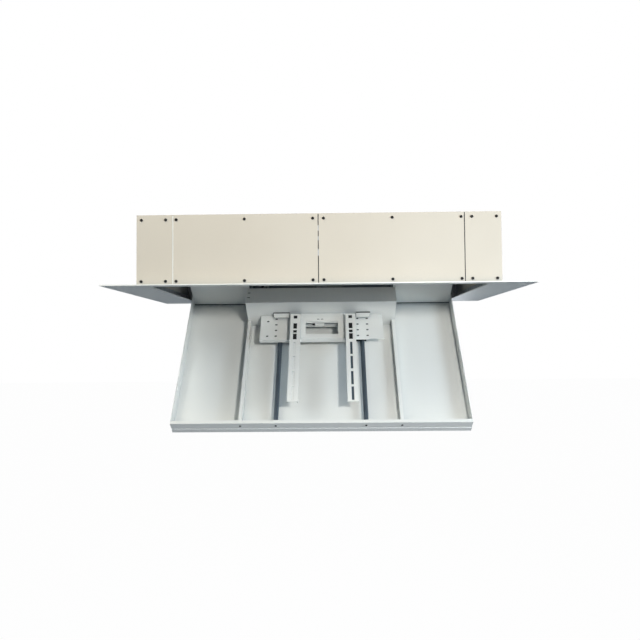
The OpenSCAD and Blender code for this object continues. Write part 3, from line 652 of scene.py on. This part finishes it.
def hexagon_head(piece, place, radius, height):
    washer = height * WASHER_SHARE
    across = radius * ACROSS_SHARE
    crown, shoulder = CHAMFER_SHARES
    piece.stack(spun(place), [(circle(radius), 0), (circle(radius), washer), (hexagon(across), washer),
                              (hexagon(across), height * shoulder), (circle(across * crown), height)])


# %% Where a head sits on its sheet
PANEL_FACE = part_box("front_panel_left")[0][1]
FACE_FRONT = Matrix.Rotation(math.pi / 2, 4, "X")
FACE_UP = Matrix.Identity(4)
FACE_DOWN = Matrix.Rotation(math.pi, 4, "X")


def on_panel(low, high, middle):
    """A panel screw, from the face of the sheet forwards."""
    return (middle.x, PANEL_FACE, middle.z), PANEL_FACE - low.y


def on_end_wall(low, high, middle):
    """A tray screw, over the whole length of its box."""
    return (middle.x, high.y, middle.z), high.y - low.y


def on_lid(low, high, middle):
    """A gearbox screw, which stands on the lid."""
    return (middle.x, middle.y, low.z), high.z - low.z


def under_plate(low, high, middle):
    """An arm bolt, whose head hangs under the carriage plate."""
    return (middle.x, middle.y, high.z), high.z - low.z


# %% Rows of screws
def add_screws(name, node, body, head, seat, turn, place=WORLD):
    """One head for each screw of a node. seat says where its foot is and how tall it is."""
    heads = Piece()
    for low, high in solids(node, place):
        foot, height = seat(low, high, (low + high) / 2)
        at = place @ Matrix.Translation(foot) @ turn
        head(heads, at, (high.x - low.x) / 2, height)
    return heads.make(name, body, slot_of[node], [node])


add_screws("panel_screw_heads", "panel_screws", "housing", pan_head, on_panel, FACE_FRONT)
add_screws("tray_screw_heads", "tray_screws", "flap", pan_head, on_end_wall, FACE_FRONT, TRAY)
add_screws("gearbox_cap_screws", "gearbox_screws", "housing", socket_head, on_lid, FACE_UP)
add_screws("arm_bolt_heads", "arm_bolts", "carriage", hexagon_head, under_plate, FACE_DOWN, TRAY)

# %% [markdown]
# ## The motor
#
# A small geared motor has a shell with shallow cooling fins between two plain bands, and an end
# bell with through bolts and a boss for the rear bearing. Both are stacks of outlines again: the
# fins are an outline whose radius goes up and down, which is simpler and cleaner than cutting a
# groove between each pair.

# %% Motor shell
FINS = 36
FIN_POINTS = 4
FIN_SHARE = 0.93
SHELL_SHARE = 0.985
BAND_SHARE = 0.09
LIP_SHARE = 0.008
EDGE_SHARE = 0.97
ALONG_X = Matrix.Rotation(math.pi / 2, 4, "Y")


def finned(radius):
    ring = []
    for i in range(FIN_POINTS * FINS):
        reach = radius if i % FIN_POINTS < FIN_POINTS / 2 else radius * FIN_SHARE
        ring.append(polar(reach, i * math.tau / (FIN_POINTS * FINS)))
    return ring


def on_shaft(name):
    """A round node that lies along X: the place of its left end, its radius and its length."""
    low, high = box_on(name, WORLD)
    middle = (low + high) / 2
    at = Matrix.Translation((low.x, middle.y, middle.z)) @ ALONG_X
    return at, (high.z - low.z) / 2, high.x - low.x


def add_motor():
    at, radius, length = on_shaft("motor_body")
    band = length * BAND_SHARE
    lip = length * LIP_SHARE
    edge = circle(radius * EDGE_SHARE, FIN_POINTS * FINS)
    ring = circle(radius, FIN_POINTS * FINS)
    fins = finned(radius * SHELL_SHARE)
    shell = Piece()
    shell.stack(at, [(edge, 0), (ring, lip), (ring, band), (fins, band + lip), (fins, length - band - lip),
                     (ring, length - band), (ring, length - lip), (edge, length)])
    return shell.make("motor_shell", "housing", "motor_enamel", ["motor_body"])


add_motor()

# %% Motor end bell
BELL_SIDES = 48
BELL_SHARES = [(1.0, 0.0), (1.0, 0.45), (0.93, 0.62), (0.55, 0.7), (0.38, 0.78), (0.36, 1.0), (0.2, 1.0),
               (0.18, 0.8)]
THROUGH_BOLTS = 4
BOLT_PLACE_SHARES = (0.74, 0.62)
BOLT_SHARES = (0.09, 0.2)


def add_end_bell():
    at, radius, length = on_shaft("motor_cap")
    out, up = BOLT_PLACE_SHARES
    wide, tall = BOLT_SHARES
    bell = Piece()
    bell.stack(at, scaled(lambda r: circle(r, BELL_SIDES), radius, length, BELL_SHARES))
    for k in range(THROUGH_BOLTS):
        turn = Matrix.Rotation(math.pi / 4 + k * QUARTER, 4, "Z")
        foot = at @ turn @ Matrix.Translation((radius * out, 0, length * up))
        socket_head(bell, foot, radius * wide, length * tall)
    return bell.make("motor_end_bell", "housing", "black_plastic", ["motor_cap"])


add_end_bell()

# %% [markdown]
# ## Gearbox ribs, box lid, switch blades and collar screws
#
# These are what a fitter would recognise behind the tray: cast ribs on the gearbox, a raised rim
# and screws on the control box lid, bronze blades on the limit switches, and a set screw in each
# shaft collar. They are small, so plain rounded bars and the screw heads above are enough.

# %% Gearbox ribs
RIBS = 5
RIB_PROUD = 0.002
RIB_WIDE = 0.003
RIB_ROUND = 0.0008


def add_gearbox_ribs():
    low, high = box_on("gearbox_casing", WORLD)
    ribs = Piece()
    for k in range(RIBS):
        x = low.x + (high.x - low.x) * (k + 0.5) / RIBS
        ribs.bar(WORLD, Vector((x - RIB_WIDE / 2, low.y - RIB_PROUD, low.z + RIB_WIDE)),
                 Vector((x + RIB_WIDE / 2, low.y, high.z - RIB_WIDE)), RIB_ROUND)
    return ribs.make("gearbox_ribs", "housing", "cast_alloy")


add_gearbox_ribs()

# %% Rim and screws of the control box lid
LID_RIM = 0.006
LID_PROUD = 0.0015
LID_EDGE_SHARE = 0.6
LID_SCREW = (0.0035, 0.002)


def add_lid_trim():
    low, high = box_on("control_box_lid", WORLD)
    middle = (low + high) / 2
    half = (high - low) / 2
    at = Matrix.Translation((middle.x, low.y, middle.z)) @ FACE_FRONT
    outer = rectangle(half.x - LID_RIM, half.z - LID_RIM, LID_RIM)
    inner = rectangle(half.x - LID_RIM * 1.5, half.z - LID_RIM * 1.5, LID_RIM / 2)
    trim = Piece()
    trim.stack(at, [(outer, 0), (outer, LID_PROUD * LID_EDGE_SHARE), (inner, LID_PROUD)])
    for sx in (-1, 1):
        for sz in (-1, 1):
            corner = (sx * (half.x - 2 * LID_RIM), sz * (half.z - 2 * LID_RIM), LID_PROUD)
            pan_head(trim, at @ Matrix.Translation(corner), *LID_SCREW)
    return trim.make("control_lid_trim", "housing", "black_plastic")


add_lid_trim()

# %% Blades of the limit switches
BLADE_PITCH = 0.006
BLADE_FOOT = 0.0045
BLADE_TIP = 0.011
BLADE_HALF_WIDE = 0.0022
BLADE_HALF_THICK = 0.0004
BLADE_ROUND = 0.0002


def add_switch_blades():
    """Three blades on each switch. They stand outwards, away from the hinge."""
    blades = Piece()
    hinge_point = Vector(swing["pos_m"])
    for low, high in solids("limit_switches"):
        middle = (low + high) / 2
        out = middle - hinge_point
        turn = math.atan2(out.z, out.y)
        reach = math.hypot(out.y, out.z)
        hub = Matrix.Translation((middle.x, hinge_point.y, hinge_point.z))
        at = hub @ Matrix.Rotation(turn, 4, "X")
        for k in (-1, 0, 1):
            place = k * BLADE_PITCH
            blades.bar(at, Vector((-BLADE_HALF_WIDE, reach + BLADE_FOOT, place - BLADE_HALF_THICK)),
                       Vector((BLADE_HALF_WIDE, reach + BLADE_TIP, place + BLADE_HALF_THICK)), BLADE_ROUND)
    return blades.make("switch_blades", "housing", "bronze")


add_switch_blades()

# %% Set screws of the shaft collars
COLLAR_SHARE = 0.96
SET_SCREW = (0.003, 0.0012)


def add_collar_screws():
    screws = Piece()
    for low, high in solids("shaft_collars"):
        radius = (high.z - low.z) / 2
        hub = Matrix.Translation((low + high) / 2) @ Matrix.Rotation(-LEAN, 4, "X")
        socket_head(screws, hub @ Matrix.Translation((0, 0, radius * COLLAR_SHARE)), *SET_SCREW)
    return screws.make("collar_set_screws", "flap", "black_screw")


add_collar_screws()

# %% [markdown]
# ## Edging and slot strips
#
# Black edging round the stop tabs is painted shadow: it stands for the dark outline of shade round
# the tabs, drawn as rubber clipped over them, so that the carriage lands softly against the
# spine's head. A strip backs the slots of each arm, white on the left and slate on the right.
# Colour alone could stand for them, but a thin bar has an edge that catches the light and lies
# deeper than the sheet, so it looks right from any side. The arms' black inserts end just under
# the web, so their tops say where the strips go.

# %% Edging of the stop tabs
EDGING = 0.0026
EDGING_T = 0.0008
EDGING_SIDE_SHARE = 0.6
EDGING_ROUND = 0.0003
EDGING_GAP = 0.0002
EDGING_RISE = 0.002


def add_stop_shadow_edging():
    """Black edging, a painted shadow, round three edges of the left tab and along the top of the right one.
    """
    edging = Piece()
    side = EDGING * EDGING_SIDE_SHARE
    head = box_on("spine_head")[0].y - EDGING_GAP
    for k, (low, high) in enumerate(solids("stop_tabs", TRAY)):
        face = high.z
        under_top = high.y - EDGING
        foot = low.y + EDGING
        runs = [((low.x, under_top), (high.x, head)),
                ((low.x, foot), (low.x + side, under_top)),
                ((high.x - side, foot), (high.x, under_top))]
        for (x0, y0), (x1, y1) in runs if k == 0 else runs[:1]:
            edging.bar(TRAY, Vector((x0, y0, face)), Vector((x1, y1, face + EDGING_T)), EDGING_ROUND)
        back = Vector((low.x, high.y + EDGING_GAP, low.z + EDGING_RISE))
        edging.bar(TRAY, back, Vector((high.x, head, face)), EDGING_ROUND)
    return edging.make("stop_shadow_edging", "carriage", "black_plastic")


add_stop_shadow_edging()

# %% Strips behind the slots of the arms
STRIP_HALF = 0.006
STRIP_T = 0.0012
STRIP_INSET = 0.004
STRIP_ROUND = 0.0004
WEB_OVER_INSERT = 0.001


def add_slot_strip(name, arm, insert, slot):
    """The strip that backs an arm's slots, just under its web."""
    low, high = box_on(arm)
    middle = (low.x + high.x) / 2
    top = insert[1].z + WEB_OVER_INSERT
    strip = Piece()
    strip.bar(TRAY, Vector((middle - STRIP_HALF, low.y + STRIP_INSET, top - STRIP_T)),
              Vector((middle + STRIP_HALF, insert[0].y - STRIP_INSET, top)), STRIP_ROUND)
    return strip.make(name, "carriage", slot)


inserts = solids("arm_inserts", TRAY)
add_slot_strip("arm_strip_left", "arm_left", inserts[0], "white_enamel")
add_slot_strip("arm_strip_right", "arm_right", inserts[-1], "slate_rod")

# %% [markdown]
# ## Plugs and seals
#
# Black plugs fill the small holes in the carriage and in the spine's head. They are painted shade:
# they stand for the dark inside of the holes. Their places are read from the rims of the holes in
# the sheet's own mesh: an edge of the upper face that borders a wall is a rim, and rims that lead
# to one another are one hole. A thin black seal runs along the foot of each hinge wall; it is
# painted shade too, in the crease where the wall meets the floor.

# %% The holes of a sheet
NEAR = 1e-5
LEVEL = 0.5


def outlines(name, place=TRAY):
    """The box of each outline in a sheet's upper face: its rim, its windows and its holes."""
    mesh = welded(name, place)
    mesh.normal_update()
    top = max(vert.co.z for vert in mesh.verts)
    links = {}
    for edge in mesh.edges:
        on_top = all(vert.co.z > top - NEAR for vert in edge.verts)
        if on_top and min(face.normal.z for face in edge.link_faces) < LEVEL:
            for vert in edge.verts:
                links.setdefault(vert, []).append(edge.other_vert(vert))
    boxes = linked_boxes(links, links.get)
    mesh.free()
    return sorted(boxes, key=lambda box: (round(box[0].x, DECIMALS), round(box[0].y, DECIMALS)))


print("outlines in the carriage plate:", len(outlines("carriage_plate")))

# %% Plugs
SMALL_HOLE = 0.03
PLUG_GAP = Vector((0.00015, 0.00015, 0))
PLUG_DEPTHS = (-0.0015, -0.0003, -0.0005)
PLUG_ROUND_SHARE = 0.98
DISH_SHARES = (0.8, 0.7, 0.6)


def add_shade_plugs(name, sheet, body):
    """Black plugs in the small slots of a sheet, a little below its face and dished: painted shade for the
    dark holes.
    """
    plugs = Piece()
    foot, rim, dish = PLUG_DEPTHS
    dish_x, dish_y, dish_round = DISH_SHARES
    holes = [box for box in outlines(sheet) if (box[1] - box[0]).length < SMALL_HOLE]
    for low, high in holes:
        middle = (low + high) / 2
        half = (high - low) / 2 - PLUG_GAP
        small = min(half.x, half.y)
        at = TRAY @ Matrix.Translation((middle.x, middle.y, low.z))
        outside = rectangle(half.x, half.y, small * PLUG_ROUND_SHARE)
        inside = rectangle(half.x * dish_x, half.y * dish_y, small * dish_round)
        plugs.stack(at, [(outside, foot), (outside, rim), (inside, dish)])
    print(sheet, "holes:", len(holes))
    return plugs.make(name, body, "black_plastic")


# Painted shade: the black plugs stand for the dark inside of the holes.
add_shade_plugs("wing_shade_plugs", "carriage_plate", "carriage")
add_shade_plugs("head_shade_plugs", "spine_head", "flap")
add_shade_plugs("box_shade_plugs", "carriage_box", "carriage")

# %% Seals
SEAL = 0.0026
SEAL_T = 0.0012
SEAL_ROUND = 0.0004


def add_foot_crease_shades():
    """A thin black strip along the foot of each hinge wall, on the tray's floor: painted shade in the
    crease.
    """
    seals = Piece()
    for name in ("hinge_wall_left", "hinge_wall_right"):
        low, high = box_on(name)
        seals.bar(TRAY, Vector((low.x, low.y - SEAL, low.z)), Vector((high.x, low.y, low.z + SEAL_T)),
                  SEAL_ROUND)
    return seals.make("foot_crease_shades", "flap", "black_plastic")


add_foot_crease_shades()

# %% [markdown]
# ## Panel joints
#
# The cover panels leave three gaps. The left one is closed by a pale bead of sealant. The middle and
# right ones are filled with black strips, the middle one cut into lengths; these are painted
# shadow, which stands for the shade down in the gaps. The strips lie a little below the panel face,
# as a real joint does. Each is a plain bar between the edges of its two panels.

# %% Panel joints
PANELS = ["front_panel_end_left", "front_panel_left", "front_panel_right", "front_panel_end_right"]
JOINT_DEPTH = 0.0002
JOINT_GAP = 0.00015
JOINT_ROUND = 0.0003
WHOLE_SHARES = [(0.0, 1.0)]
CUT_SHARES = [(0.0, 0.40), (0.50, 0.62), (0.68, 0.76), (0.84, 1.0)]


def joint_between(left, right):
    """The gap between two neighbouring panels, as low and high corners."""
    a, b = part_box(left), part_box(right)
    return (Vector((a[1][0] + JOINT_GAP, a[0][1] + JOINT_DEPTH, a[0][2])),
            Vector((b[0][0] - JOINT_GAP, a[1][1], a[1][2])))


def add_joint(name, number, slot, lengths):
    """The filling of the gap after a panel. lengths are shares of its height, from the bottom up."""
    low, high = joint_between(PANELS[number], PANELS[number + 1])
    tall = high.z - low.z
    strip = Piece()
    for start, end in lengths:
        strip.bar(WORLD, Vector((low.x, low.y, low.z + start * tall)),
                  Vector((high.x, high.y, low.z + end * tall)), JOINT_ROUND)
    return strip.make(name, "housing", slot)


add_joint("joint_left", 0, "white_enamel", WHOLE_SHARES)
# Painted shadow: the black middle and right strips stand for the shade in their gaps.
add_joint("shadow_joint_middle", 1, "black_plastic", CUT_SHARES)
add_joint("shadow_joint_right", 2, "black_plastic", WHOLE_SHARES)

# %% [markdown]
# ## Floor and background
#
# The mount hangs in the air over a pale floor. The floor is almost white to the camera and plain
# grey to the light, so that it doesn't brighten the object from below, and it can't be seen from
# underneath. The sky of the room does much the same: it is white to the camera and in reflections,
# and to everything else a dim cool blue that fills the shade.

# %% Floor
FLOOR_Z = -2.1
FLOOR_HALF = 30.0
FLOOR_DARK = (0.4, 0.42, 0.45)
FLOOR_PALE = (0.42, 0.44, 0.47)
FLOOR_GRAIN = 4.0
GLOW_SHARE = 0.985
WHITE = (1.0, 1.0, 1.0, 1.0)


def floor_finish():
    finish = Finish("studio_floor", roughness=0.9)
    finish.wear(Base_Color=finish.mix(finish.noise(FLOOR_GRAIN), FLOOR_DARK, FLOOR_PALE))
    matt = Wire(finish, finish.shader.outputs[0])
    rays = finish.node("ShaderNodeLightPath", out="Is Camera Ray")
    bright = finish.node("ShaderNodeEmission", None, {"Color": WHITE, "Strength": 1.0})
    clear = finish.node("ShaderNodeBsdfTransparent")
    below = finish.node("ShaderNodeNewGeometry", out="Backfacing")
    seen = finish.node("ShaderNodeMixShader", None, {0: rays * GLOW_SHARE, 1: matt, 2: bright})
    whole = finish.node("ShaderNodeMixShader", None, {0: below, 1: seen, 2: clear})
    finish.feed(finish.tree.nodes["Material Output"].inputs["Surface"], whole)
    return finish.material


def add_floor():
    corners = [(x * FLOOR_HALF, y * FLOOR_HALF, FLOOR_Z) for x, y in ((-1, -1), (1, -1), (1, 1), (-1, 1))]
    mesh = bpy.data.meshes.new("floor")
    mesh.from_pydata(corners, [], [(0, 1, 2, 3)])
    mesh.materials.append(floor_finish())
    floor = bpy.data.objects.new("floor", mesh)
    bpy.context.scene.collection.objects.link(floor)
    return floor


floor = add_floor()
print(floor.name, "at", FLOOR_Z)

# %% Sky
SKY_COLOUR = (0.22, 0.58, 1.0, 1.0)
SKY_STRENGTH = 0.1
PLAIN_RAYS = ("Is Glossy Ray", "Is Transmission Ray")


def add_sky():
    """Dim coloured light for the object, and plain white for the camera and for reflections."""
    world = bpy.data.worlds.new("room")
    bpy.context.scene.world = world
    world.use_nodes = True
    tree = world.node_tree
    tree.nodes.clear()
    rays = tree.nodes.new("ShaderNodeLightPath")
    seen = rays.outputs["Is Camera Ray"]
    for other in PLAIN_RAYS:
        either = tree.nodes.new("ShaderNodeMath")
        either.operation = "MAXIMUM"
        tree.links.new(seen, either.inputs[0])
        tree.links.new(rays.outputs[other], either.inputs[1])
        seen = either.outputs[0]
    fill = tree.nodes.new("ShaderNodeBackground")
    fill.inputs["Color"].default_value = SKY_COLOUR
    fill.inputs["Strength"].default_value = SKY_STRENGTH
    white = tree.nodes.new("ShaderNodeBackground")
    white.inputs["Color"].default_value = WHITE
    mix = tree.nodes.new("ShaderNodeMixShader")
    output = tree.nodes.new("ShaderNodeOutputWorld")
    tree.links.new(seen, mix.inputs[0])
    tree.links.new(fill.outputs[0], mix.inputs[1])
    tree.links.new(white.outputs[0], mix.inputs[2])
    tree.links.new(mix.outputs[0], output.inputs["Surface"])
    return world


sky = add_sky()
bpy.context.scene.view_settings.view_transform = "Standard"
print("sky:", sky.name, "strength:", SKY_STRENGTH)

# %% [markdown]
# ## Lamps
#
# A key light stands to the right of the camera, a little above the flange, warm and fairly small,
# so that the ribs and the bracket throw clear shadows to the left. A cool window on the right and
# two soft lamps high on the left fill in. One lamp above and two behind are there for the other
# sides of the object, which are only seen when it is turned. All are square lamps, because the
# size of a square lamp sets how soft its shadows are.

# %% Lamps
TARGET = Vector((0.0, -0.05, -0.3))
# name, place, side of the square, power, colour
LAMPS = [
    ("key", (0.69, -2.22, -0.07), 0.16, 26, (1.0, 0.98, 0.93)),
    ("window", (2.2, -1.4, -0.1), 0.9, 30, (0.74, 0.88, 1.0)),
    ("ceiling", (-0.9, -1.2, 1.5), 1.4, 15, (1.0, 0.86, 0.62)),
    ("ceiling_left", (-1.7, -1.5, 1.0), 0.9, 16, (0.96, 0.98, 0.92)),
    ("over", (0.0, 0.9, 2.6), 2.4, 26, (1.0, 0.98, 0.95)),
    ("rear", (0.4, 3.4, 0.9), 2.4, 52, (1.0, 0.98, 0.95)),
    ("rear_low", (0.3, 2.8, -0.5), 1.6, 16, (0.9, 0.95, 1.0)),
]


def softbox(name, place, size, power, colour):
    """A square lamp that faces the object and doesn't show in the picture."""
    data = bpy.data.lights.new(name, "AREA")
    data.shape = "SQUARE"
    data.size = size
    data.energy = power
    data.color = colour
    lamp = bpy.data.objects.new(name, data)
    bpy.context.scene.collection.objects.link(lamp)
    lamp.location = place
    lamp.rotation_euler = (TARGET - Vector(place)).to_track_quat("-Z", "Y").to_euler()
    lamp.visible_camera = False
    return lamp


lamps = [softbox(*lamp) for lamp in LAMPS]
print("lamps:", ", ".join(lamp.name for lamp in lamps))
